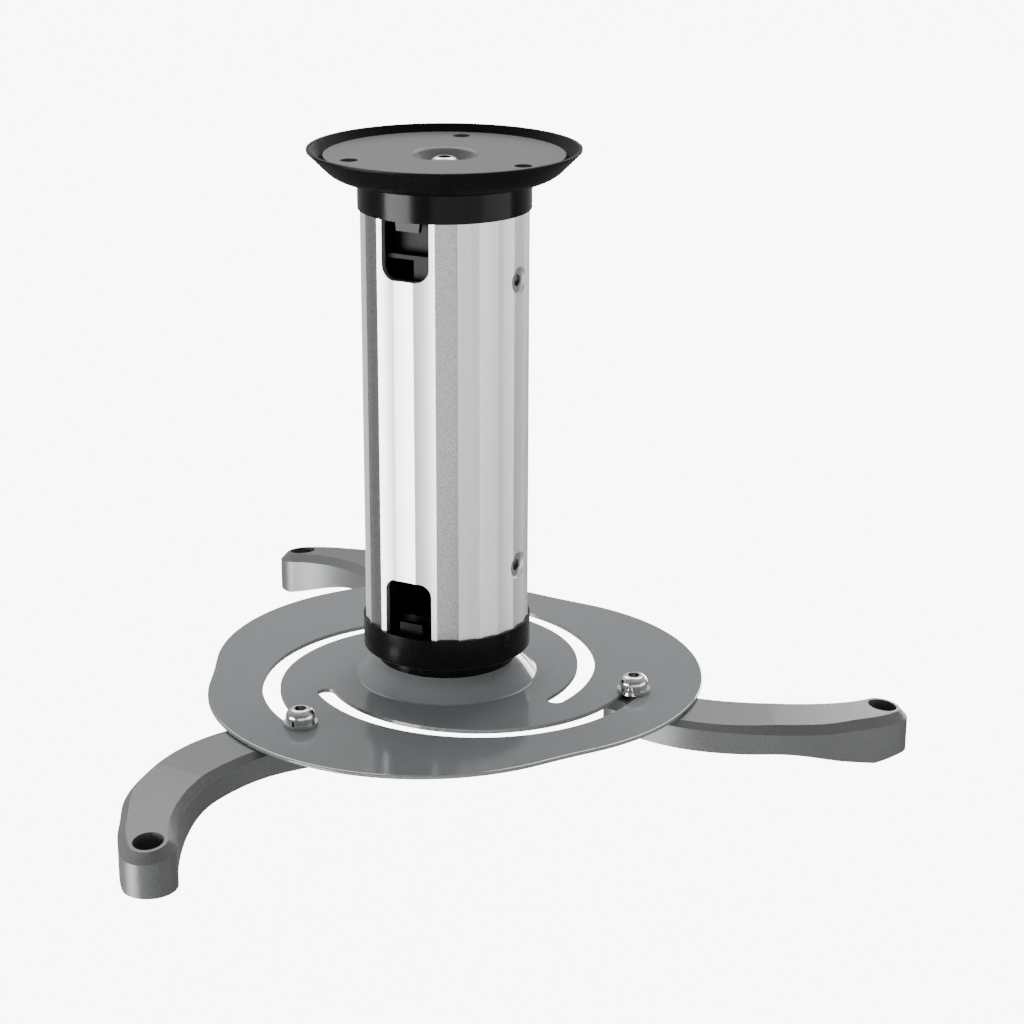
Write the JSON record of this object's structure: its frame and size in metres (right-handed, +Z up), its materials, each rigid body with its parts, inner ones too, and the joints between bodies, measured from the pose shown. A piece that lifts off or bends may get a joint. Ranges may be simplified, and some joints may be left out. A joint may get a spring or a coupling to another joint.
{
  "type": "projector ceiling mount",
  "caption": "Short ceiling mount for a projector: round plate in a conical canopy, fluted column with cable windows, domed slotted plate and curved cast arms.",
  "frame": {"origin": "centre of the ceiling plate's mounting face", "axes": "+Z up along the column towards the ceiling, -Y the side with the column's cable windows"},
  "size_m": [0.2946, 0.2785, 0.2177],
  "materials": {
    "grey_paint": "semi-gloss",
    "matte_black": "matte",
    "gloss_black": "gloss",
    "plug_black": "satin",
    "anodised": "satin anodised",
    "cast_grey": "metallic lacquer",
    "zinc": "zinc plated"
  },
  "bodies": {
    "ceiling": {"ceiling_plate": "grey_paint", "upper_pivot_bolt": "zinc", "upper_washer": "zinc", "upper_lock_nut": "zinc"},
    "column": {"column": "anodised", "upper_collar": "gloss_black", "lower_collar": "gloss_black", "upper_plug": "plug_black", "lower_plug": "plug_black", "upper_set_screw": "zinc", "lower_set_screw": "zinc"},
    "canopy": {"canopy": "matte_black"},
    "lower_clamp": {"lower_pivot_bolt": "zinc", "clamp_washer": "zinc", "lower_washer": "zinc", "lower_lock_nut": "zinc"},
    "dome_washer": {"dome_washer": "zinc"},
    "projector_plate": {"projector_plate": "grey_paint"},
    "screw_right": {"arm_screw_right": "zinc", "spring_washer_right": "zinc", "flat_washer_right": "zinc"},
    "arm_right": {"arm_right": "cast_grey"},
    "screw_left": {"arm_screw_left": "zinc", "spring_washer_left": "zinc", "flat_washer_left": "zinc"},
    "arm_left": {"arm_left": "cast_grey"},
    "screw_front": {"arm_screw_front": "zinc", "spring_washer_front": "zinc", "flat_washer_front": "zinc"},
    "arm_front": {"arm_front": "cast_grey"}
  },
  "joints": [
    {"name": "column_swivel", "type": "hinge", "parent": "ceiling", "child": "column", "pos_m": [0, 0, 0], "axis": [0, 0, 1], "continuous": true},
    {"name": "canopy_slide", "type": "slide", "parent": "column", "child": "canopy", "axis": [0, 0, -1], "range_m": [0, 0.1]},
    {"name": "plate_swivel", "type": "hinge", "parent": "column", "child": "lower_clamp", "pos_m": [0, 0, -0.22249], "axis": [0, 0, 1], "continuous": true},
    {"name": "plate_pitch", "type": "hinge", "parent": "lower_clamp", "child": "dome_washer", "pos_m": [0, 0, -0.22249], "axis": [1, 0, 0], "range_deg": [-8, 8]},
    {"name": "plate_roll", "type": "hinge", "parent": "dome_washer", "child": "projector_plate", "pos_m": [0, 0, -0.22249], "axis": [0, 1, 0], "range_deg": [-8, 8]},
    {"name": "slot_travel_right", "type": "hinge", "parent": "projector_plate", "child": "screw_right", "pos_m": [0.00937, 0.00805, -0.19437], "axis": [0, 0, 1], "range_deg": [-75, 1.5]},
    {"name": "arm_swivel_right", "type": "hinge", "parent": "screw_right", "child": "arm_right", "pos_m": [0.06931, 0.01538, -0.2], "axis": [0, 0, 1], "range_deg": [-30, 30]},
    {"name": "slot_travel_left", "type": "hinge", "parent": "projector_plate", "child": "screw_left", "pos_m": [-0.01166, 0.00409, -0.19437], "axis": [0, 0, 1], "range_deg": [-75, 1.5]},
    {"name": "arm_swivel_left", "type": "hinge", "parent": "screw_left", "child": "arm_left", "pos_m": [-0.04798, 0.05233, -0.2], "axis": [0, 0, 1], "range_deg": [-30, 30]},
    {"name": "slot_travel_front", "type": "hinge", "parent": "projector_plate", "child": "screw_front", "pos_m": [0.00229, -0.01215, -0.19437], "axis": [0, 0, 1], "range_deg": [-75, 1.5]},
    {"name": "arm_swivel_front", "type": "hinge", "parent": "screw_front", "child": "arm_front", "pos_m": [-0.02133, -0.06771, -0.2], "axis": [0, 0, 1], "range_deg": [-30, 30]}
  ]
}
